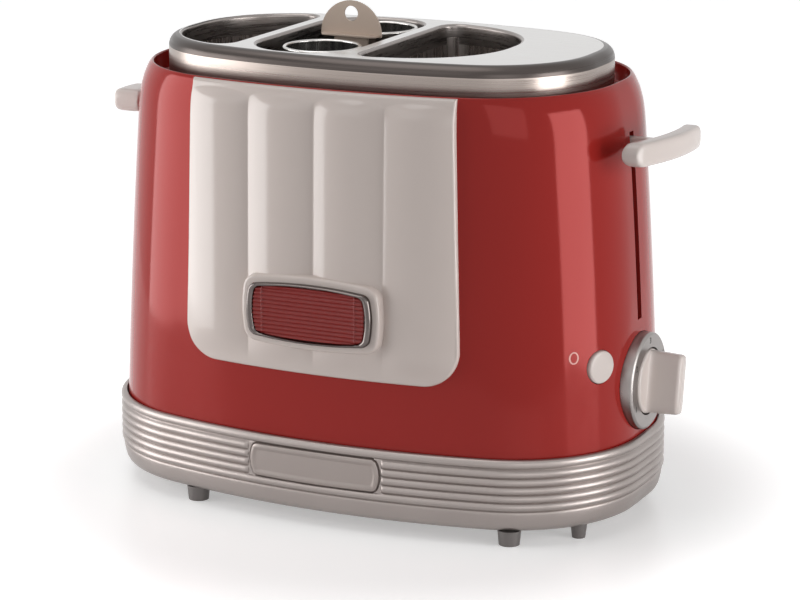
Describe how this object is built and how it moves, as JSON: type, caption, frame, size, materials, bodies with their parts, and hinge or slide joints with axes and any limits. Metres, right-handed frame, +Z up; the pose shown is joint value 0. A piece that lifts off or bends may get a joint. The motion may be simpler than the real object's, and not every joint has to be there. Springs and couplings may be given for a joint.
{
  "type": "hot dog toaster",
  "caption": "Oval retro hot dog toaster with bun wells, a lift-out sausage basket, side levers, a browning dial, a stop button and a crumb tray.",
  "frame": {"origin": "on the table plane that the feet rest on, under the middle of the oval base", "axes": "+Z up, +X towards the end with the dial and the wide lever, -Y towards the front with the fluted panel"},
  "size_m": [0.3355, 0.1908, 0.2646],
  "materials": {
    "silver_base": "satin silver lacquer",
    "red_shell": "high gloss",
    "brushed_cover": "brushed",
    "white_panel": "satin gloss",
    "white_plastic": "satin gloss",
    "badge_chrome": "dark bright chrome",
    "badge_red": "gloss",
    "satin_silver": "satin",
    "sheet_steel": "rolled",
    "basket_steel": "polished",
    "tab_grey": "matt",
    "mica": "matt",
    "heater_metal": "oxidised",
    "rod_chrome": "ground",
    "spring_steel": "bright",
    "magnet_iron": "plain",
    "black_plastic": "matt",
    "circuit_green": "matt",
    "block_white": "matt",
    "black_rubber": "matt"
  },
  "bodies": {
    "housing": {"base_skirt": "silver_base", "nameplate": "silver_base", "bottom_cover": "sheet_steel", "feet": "silver_base", "shell_front": "red_shell", "shell_back": "red_shell", "shell_end_strips": "red_shell", "top_cover": "brushed_cover", "front_panel": "white_panel", "badge_frame": "badge_chrome", "badge_plate": "badge_red", "well_left": "sheet_steel", "well_centre": "sheet_steel", "well_right": "sheet_steel", "well_frame": "sheet_steel", "end_plate_left": "sheet_steel", "end_plate_right": "sheet_steel", "heater_board_outer_left": "mica", "heater_board_inner_left": "mica", "heater_board_inner_right": "mica", "heater_board_outer_right": "mica", "heater_ribbons": "heater_metal", "guide_rods": "rod_chrome", "electromagnet": "magnet_iron", "magnet_post": "sheet_steel", "dial_ring": "satin_silver", "timer_unit": "black_plastic", "control_bracket": "sheet_steel", "control_board": "circuit_green", "stop_switch": "black_plastic", "terminal_block": "block_white", "thermal_cutout": "rod_chrome", "cord_grommet": "black_rubber", "floor_screws": "spring_steel"},
    "carriage": {"carriage_bar": "sheet_steel", "lever_right": "white_plastic", "lever_left": "white_plastic", "lift_tray_left": "sheet_steel", "basket_rest": "sheet_steel", "lift_tray_right": "sheet_steel", "carriage_slider": "black_plastic", "keeper": "sheet_steel", "return_springs": "spring_steel"},
    "basket": {"basket_tubes": "basket_steel", "basket_floor": "basket_steel", "basket_tab": "tab_grey"},
    "knob": {"timer_knob": "white_plastic", "timer_shaft": "rod_chrome"},
    "stop": {"stop_button": "white_plastic"},
    "crumbs": {"crumb_tray": "sheet_steel", "crumb_tray_lip": "silver_base"}
  },
  "joints": [
    {"name": "carriage_slide", "type": "slide", "parent": "housing", "child": "carriage", "axis": [0, 0, -1], "range_m": [0, 0.088], "stiffness_N_per_m": 60, "springref_m": -0.16, "deforming": ["return_springs"]},
    {"name": "basket_lift", "type": "slide", "parent": "carriage", "child": "basket", "axis": [0, 0, 1], "range_m": [0, 0.12]},
    {"name": "timer_turn", "type": "hinge", "parent": "housing", "child": "knob", "pos_m": [0.1451, 0, 0.075], "axis": [1, 0, 0], "range_deg": [-110, 130]},
    {"name": "stop_press", "type": "slide", "parent": "housing", "child": "stop", "axis": [-0.9085, 0.4179, 0], "range_m": [0, 0.002], "stiffness_N_per_m": 400, "springref_m": -0.001},
    {"name": "crumb_pull", "type": "slide", "parent": "housing", "child": "crumbs", "axis": [0, 1, 0], "range_m": [0, 0.15]}
  ]
}
